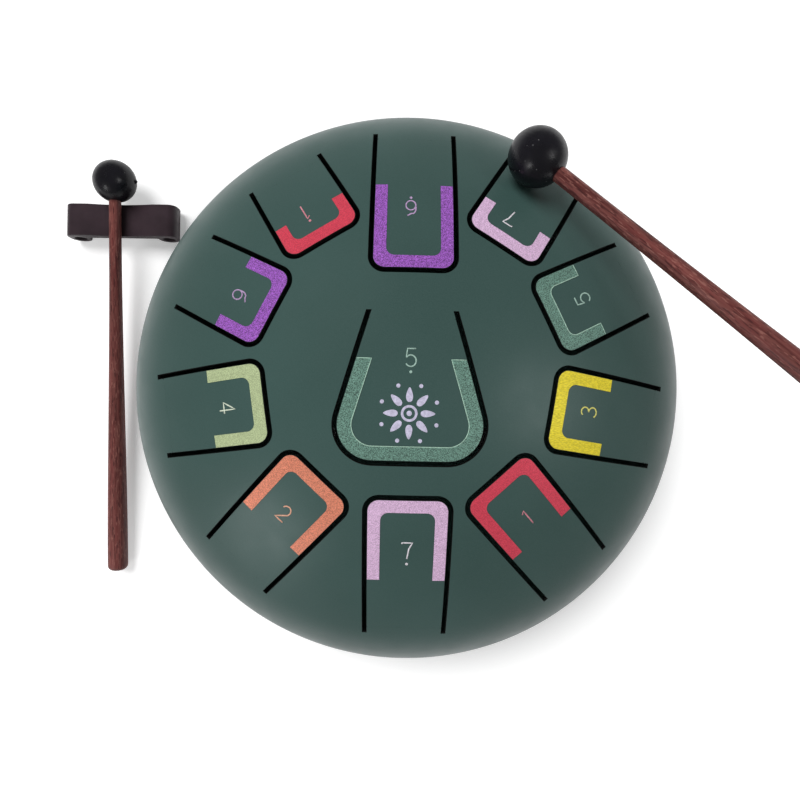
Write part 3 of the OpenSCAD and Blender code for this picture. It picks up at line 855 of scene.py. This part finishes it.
# %% [markdown]
# ## Mallet heads
#
# A head is a moulded rubber ball. Its mould leaves a small nub at one pole and a faint seam round
# the middle between the poles, so the ball is spun about the line through its nub: the profile is
# a half circle with a little peak at one end and a low ridge halfway.

# %% Make the two heads
def head_piece(body, place, nub_turn):
    name = body + "_head"
    nub_h, nub_edge = 1.0 * MM, 1.6 * MM / head_r
    seam_h, seam_edge = 0.05 * MM, 0.02
    ball_r = head_r - seam_h
    profile = [(0, ball_r + nub_h)]
    for a in [nub_edge * i / 10 for i in range(1, 10)] + [math.pi * i / 72 for i in range(4, 72)]:
        radius = ball_r + seam_h * math.exp(-((a - math.pi / 2) / seam_edge) ** 2)
        if a < nub_edge:
            radius += nub_h * (0.5 + 0.5 * math.cos(math.pi * a / nub_edge)) ** 1.3
        profile.append((radius * math.sin(a), radius * math.cos(a)))
    profile.append((0, -ball_r))
    bm = bmesh.new()
    spun(bm, profile, 64, place @ rotation(nub_turn, "Z") @ rotation(90, "Y"), closed=False)
    piece = new_object("rubber_" + name, bm, body)
    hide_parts(name)
    return piece


heads = [head_piece("rest_mallet", resting_place, 0), head_piece("playing_mallet", playing_place, 90)]
print("heads:", [len(h.data.polygons) for h in heads])

# %% [markdown]
# ## Mallet rest
#
# The rest is one moulded bar with a shallow saddle on top and two rolled feet with round hollows.
# All its faces run straight from front to back, so it is a flat outline, filled round its two
# holes and extruded. The end faces are inset twice, which rounds their rims.

# %% Make the mallet rest
rest_w = 51.5 * MM
rest_shift = 1.1 * MM
rest_h = 11.5 * MM
rest_depth = 15 * MM
roll_r = 4.8 * MM
roll_x = rest_w / 2 - roll_r
hole_r = 2.7 * MM
end_r = 4 * MM
under_z = 6.3 * MM
saddle_half, saddle_dip = 15 * MM, 1.6 * MM
saddle_r = (saddle_half ** 2 + saddle_dip ** 2) / (2 * saddle_dip)
fillet = 0.8 * MM
rim = 0.5 * MM
half = [(x, saddle_z + saddle_r - math.sqrt(saddle_r ** 2 - x ** 2))
        for x in (3 * MM, 6 * MM, 9 * MM, 12 * MM, 14 * MM)]
half += [(15.4 * MM, rest_h - 0.06 * MM), (16.4 * MM, rest_h)]
half += round_arc(rest_w / 2 - end_r, rest_h - end_r, end_r, 90, 0, 12)
half += round_arc(roll_x, roll_r, roll_r, 0, -180, 28)
half += round_arc(roll_x - roll_r - fillet, under_z - fillet, fillet, 0, 90, 5)
half += [(x * MM, under_z) for x in (10, 5)]
bm = bmesh.new()
outline = flat_face(bm, with_mirror(half))
bmesh.ops.delete(bm, geom=[outline], context="FACES_ONLY")
for side in (-1, 1):
    hole = circle(bm, hole_r, 40, filled=False)
    bmesh.ops.translate(bm, vec=(side * roll_x, roll_r, 0), verts=hole)
bmesh.ops.triangle_fill(bm, edges=bm.edges[:], use_beauty=True, normal=(0, 0, 1))
back = bm.faces[:]
drawn = bmesh.ops.extrude_face_region(bm, geom=back, use_keep_orig=True)["geom"]
front = picked(drawn, BMFace)
bmesh.ops.translate(bm, vec=(0, 0, rest_depth - 2 * rim), verts=picked(drawn, BMVert))
face_outwards(bm)
for cap in (front, back):
    for inward, out in ((0.3, 0.7), (0.7, 0.3)):
        bmesh.ops.inset_region(bm, faces=cap, thickness=rim * inward, depth=rim * out,
                               use_even_offset=True)
bmesh.ops.translate(bm, vec=(0, 0, rim - rest_depth / 2), verts=bm.verts)
rest_place = beside_drum @ shift((rest_shift, 0, 0)) @ rotation(90, "X")
bmesh.ops.transform(bm, matrix=rest_place, verts=bm.verts)
face_outwards(bm)
rest = new_object("moulded_mallet_rest", bm, "mallet_rest")
keep_edges(rest, 32)
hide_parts("mallet_rest")
print("mallet rest:", len(rest.data.polygons), "faces")

# %% [markdown]
# ## Finishes: shared grain
#
# Paint flake, printed foil, wood and moulded rubber all have a fine unevenness, at different
# sizes. One shader group makes it: a noise of a given size, spread between a low and a high value.
# Each material places the group with its own numbers, and uses its value for colour, roughness or
# the height of a bump. Coordinates are the object's own, so the grain stays on a piece that moves.

# %% The grain group
def grain_group():
    group = bpy.data.node_groups.new("grain", "ShaderNodeTree")
    for way, kind, name in (("INPUT", "Vector", "Vector"), ("INPUT", "Float", "Size"),
                            ("INPUT", "Float", "Low"), ("INPUT", "Float", "High"),
                            ("OUTPUT", "Float", "Value")):
        group.interface.new_socket(name=name, in_out=way, socket_type="NodeSocket" + kind)
    given = group.nodes.new("NodeGroupInput").outputs
    scale = shader_node(group, "Math", {0: 1, 1: given["Size"]}, operation="DIVIDE")
    noise = shader_node(group, "TexNoise", {"Vector": given["Vector"], "Scale": scale.outputs[0],
                                            "Detail": 2})
    spread = shader_node(group, "MapRange", {"Value": noise.outputs["Fac"], "From Min": 0.38,
                                             "From Max": 0.62, "To Min": given["Low"],
                                             "To Max": given["High"]})
    feed(group, group.nodes.new("NodeGroupOutput"), {"Value": spread.outputs["Result"]})
    return group


grain = grain_group()
print("shared group:", grain.name)


# %% Small helpers for materials
def colour(red, green, blue):
    """A colour as seen on a screen, 0 to 255, in the linear form that shaders use."""
    def straight(value):
        value /= 255
        return value / 12.92 if value <= 0.04045 else ((value + 0.055) / 1.055) ** 2.4
    return (straight(red), straight(green), straight(blue), 1)


def stretched(tree, place, stretch):
    """Coordinates stretched along their axes."""
    return shader_node(tree, "Mapping", {"Vector": place, "Scale": stretch}).outputs["Vector"]


def own_place(tree, stretch=(1, 1, 1)):
    """The object's own coordinates, stretched along its axes."""
    return stretched(tree, shader_node(tree, "TexCoord").outputs["Object"], stretch)


def grained(tree, place, size, low=0.0, high=1.0):
    """A fine unevenness of a given size, between two values."""
    values = {"Vector": place, "Size": size, "Low": low, "High": high}
    return shader_node(tree, "Group", values, node_tree=grain).outputs["Value"]


def mixed(tree, factor, first, second):
    """A colour between two, each a colour or a socket, by a socket's value."""
    values = {"Factor": factor, 6: first, 7: second}
    return shader_node(tree, "Mix", values, data_type="RGBA").outputs[2]


def surface(name, level=0.5, **constants):
    """A material with one Principled shader, of a given specular level."""
    material, tree, output = shader_material(name)
    shader = shader_node(tree, "BsdfPrincipled", {"Specular IOR Level": level, **constants})
    feed(tree, output, {"Surface": shader.outputs["BSDF"]})
    return material, tree, shader


def bumped(tree, height, distance, strength=0.5):
    """A normal that raises the surface by a height map over a real distance."""
    values = {"Height": height, "Distance": distance, "Strength": strength}
    return shader_node(tree, "Bump", values).outputs["Normal"]


def plain_finish(name, level, tones, gloss, bump, **constants):
    """A material whose colour, roughness and bump each have a grain of their own size."""
    material, tree, shader = surface(name, level, **constants)
    place = own_place(tree)
    size, first, second = tones
    bump_size, height = bump
    feed(tree, shader, {
        "Base Color": mixed(tree, grained(tree, place, size), colour(*first), colour(*second)),
        "Roughness": grained(tree, place, *gloss),
        "Normal": bumped(tree, grained(tree, place, bump_size), height)})
    return material


def dress(material, *objects):
    """Gives a material to pieces, and to CAD nodes given by their names."""
    for obj in objects:
        materials = (nodes[obj] if isinstance(obj, str) else obj).data.materials
        if materials:  # clearing also resets the faces' material numbers
            materials.clear()
        materials.append(material)


print("paint colour:", [round(c, 3) for c in colour(55, 79, 75)[:3]])

# %% [markdown]
# ## Paint
#
# The shells are sprayed with a satin dark green that has a fine metallic flake. A flat green would
# look like card. Here the green wanders a little over the width of a hand, a speckle of lighter
# flake is scattered in it, the gloss is uneven, and a low bump gives the faint orange peel of spray.
# The slots' walls and edge chamfers are painted nearly black, as painted shade of the dark slots.

# %% Satin green paint
def green_paint(name, peel):
    material, tree, shader = surface(name, 0.35)
    place = own_place(tree)
    base = mixed(tree, grained(tree, place, 60 * MM), colour(55, 79, 75), colour(59, 84, 80))
    flake = grained(tree, place, 0.3 * MM, 0.0, 0.05)
    feed(tree, shader, {
        "Base Color": mixed(tree, flake, base, colour(120, 143, 136)),
        "Roughness": grained(tree, place, 9 * MM, 0.36, 0.41),
        "Metallic": grained(tree, place, 0.35 * MM, 0.0, 0.06),
        "Normal": bumped(tree, grained(tree, place, peel), 0.004 * MM)})
    return material


shell_paint = green_paint("satin_green_paint", 1.3 * MM)
bead_paint = green_paint("painted_weld", 2.2 * MM)
# The slots' walls and edge chamfers get this near-black colour, a painted shade for the dark slots.
slot_shade_black = plain_finish("slot_wall_painted_shade", 0.2, (0.6 * MM, (9, 10, 10), (20, 21, 20)),
                        (0.4 * MM, 0.7, 0.9), (0.3 * MM, 0.02 * MM))
dress(shell_paint, upper_shell, lower_shell, *tongues, "upper_shell", "lower_shell",
      *("tongue_" + note for note in notes))
for piece in (upper_shell, *tongues):
    piece.data.materials.append(slot_shade_black)
dress(bead_paint, "weld_seam")
print("painted:", 2 + len(tongues), "pieces")

# %% [markdown]
# ## Note bands and print
#
# Each band is a coloured foil with a fine sparkle, like sand under varnish. The speckle mixes a
# darker and a lighter tone of the band's colour, and the same speckle raises the bump, so that the
# bright grains also stand up. The sparkle is strong in the green and purple foils, and faint in the
# paler ones. The yellow foil is brushed: its speckle is stretched one way.

# %% Foils
# foil: its colour, the shares of it that the dark and the light grains have, its numeral's colour
foil_looks = {
    "green": ((96, 128, 116), 0.66, 1.32, (166, 196, 184)),
    "purple": ((146, 87, 176), 0.7, 1.28, (190, 160, 202)),
    "pink": ((226, 190, 224), 0.86, 1.08, (236, 230, 238)),
    "red": ((214, 68, 88), 0.9, 1.07, (222, 142, 156)),
    "orange": ((216, 132, 105), 0.84, 1.12, (230, 172, 144)),
    "yellow": ((228, 210, 46), 0.91, 1.05, (222, 216, 118)),
    "lime": ((182, 196, 150), 0.88, 1.08, (216, 226, 206)),
}
brushed = (0.12, 1, 1)


def foil(name, rgb, dark, light, stretch=(1, 1, 1), speckle=0.3 * MM):
    material, tree, shader = surface(name)
    place = own_place(tree, stretch)
    value = grained(tree, place, speckle)
    darker, lighter = (colour(*(min(c * share, 255) for c in rgb)) for share in (dark, light))
    feed(tree, shader, {
        "Base Color": mixed(tree, value, darker, lighter),
        "Roughness": grained(tree, place, speckle, 0.55, 0.4),
        "Metallic": grained(tree, place, speckle * 2, 0.0, 0.3),
        "Normal": bumped(tree, value, 0.02 * MM)})
    return material


foils, prints = {}, {}
for name, (rgb, dark, light, print_rgb) in foil_looks.items():
    foils[name] = foil("foil_" + name, rgb, dark, light, brushed if name == "yellow" else (1, 1, 1))
    prints[name] = foil("line_" + name, print_rgb, 0.88, 1.08)
for note, mark in zip(notes, marks):
    dress(foils[foil_of[note]], "band_" + note)
    dress(prints[foil_of[note]], mark)
pale_line = foil("pale_green_line", (172, 206, 188), 0.88, 1.1)
lilac_print = foil("lilac_print", (208, 203, 228), 0.93, 1.05, speckle=0.5 * MM)
dress(pale_line, *band_lines)
dress(lilac_print, rosette)
print("foils:", sorted(foils))

# %% [markdown]
# ## Wood
#
# The sticks are a dark red hardwood with open pores. Grain is noise that is stretched a long way
# along the stick: a broad one for the darker and lighter bands, a fine one for the fibres, a short
# dark fleck for the pores and a rarer pale one. All of them read the upright position kept in the
# mesh, so they follow each stick.

# %% Dark red hardwood
def hardwood():
    material, tree, shader = surface("dark_red_hardwood", 0.4)
    upright = shader_node(tree, "Attribute", attribute_name="grain").outputs["Vector"]

    def along(stretch, size, low=0.0, high=1.0):
        return grained(tree, stretched(tree, upright, (1, 1, stretch)), size, low, high)

    wood_tone = mixed(tree, along(0.06, 2.6 * MM), colour(82, 38, 36), colour(110, 55, 52))
    for grain_share, tone in ((along(0.05, 0.7 * MM, 0.0, 0.35), (142, 90, 82)),
                              (along(0.12, 0.5 * MM, -1.6, 0.6), (52, 22, 24)),
                              (along(0.15, 0.5 * MM, -8.0, 0.45), (160, 108, 98))):
        wood_tone = mixed(tree, grain_share, wood_tone, colour(*tone))
    feed(tree, shader, {
        "Base Color": wood_tone,
        "Roughness": along(0.08, 1.2 * MM, 0.45, 0.62),
        "Normal": bumped(tree, along(0.08, 0.6 * MM), 0.05 * MM)})
    return material


dress(hardwood(), *sticks, "rest_mallet_stick", "playing_mallet_stick")
print("wood on:", [stick.name for stick in sticks])

# %% [markdown]
# ## Rubber, plastic and steel
#
# The mallet heads are smooth black rubber that has picked up specks of dust, which show as tiny
# pale dots. The feet are duller and rougher. The rest is a dark brown plastic with a soft moulded
# skin. The fasteners are zinc-plated steel.

# %% Rubbers, plastic and steel
def black_rubber(name, tone, rough, dust):
    material, tree, shader = surface(name, 0.32)
    place = own_place(tree)
    body = mixed(tree, grained(tree, place, 7 * MM), colour(*tone), colour(*(c * 1.25 for c in tone)))
    specks = shader_node(tree, "TexVoronoi", {"Vector": place, "Scale": 1 / (2.4 * MM)})
    near = shader_node(tree, "MapRange", {"Value": specks.outputs["Distance"], "From Min": 0.035,
                                          "From Max": 0.075, "To Min": dust, "To Max": 0})
    feed(tree, shader, {
        "Base Color": mixed(tree, near.outputs["Result"], body, colour(150, 150, 150)),
        "Roughness": grained(tree, place, 3 * MM, rough - 0.05, rough + 0.06),
        "Normal": bumped(tree, grained(tree, place, 0.8 * MM), 0.02 * MM, 0.35)})
    return material


head_rubber = black_rubber("smooth_black_rubber", (17, 16, 21), 0.31, 0.6)
foot_rubber = black_rubber("dull_foot_rubber", (28, 28, 28), 0.72, 0.15)
brown_plastic = plain_finish("dark_brown_plastic", 0.45, (14 * MM, (46, 35, 40), (56, 43, 49)),
                             (2 * MM, 0.42, 0.54), (0.5 * MM, 0.015 * MM))
zinc_steel = plain_finish("zinc_plated_steel", 0.5, (1.5 * MM, (168, 170, 174), (198, 198, 196)),
                          (0.9 * MM, 0.25, 0.42), (0.4 * MM, 0.008 * MM), Metallic=1.0)
dress(head_rubber, *heads, "rest_mallet_head", "playing_mallet_head")
dress(foot_rubber, *feet, *foot_turns)
dress(brown_plastic, rest, "mallet_rest")
dress(zinc_steel, "foot_screws", "foot_washers", "foot_nuts")
print("materials:", len([m for m in bpy.data.materials if m.users]))
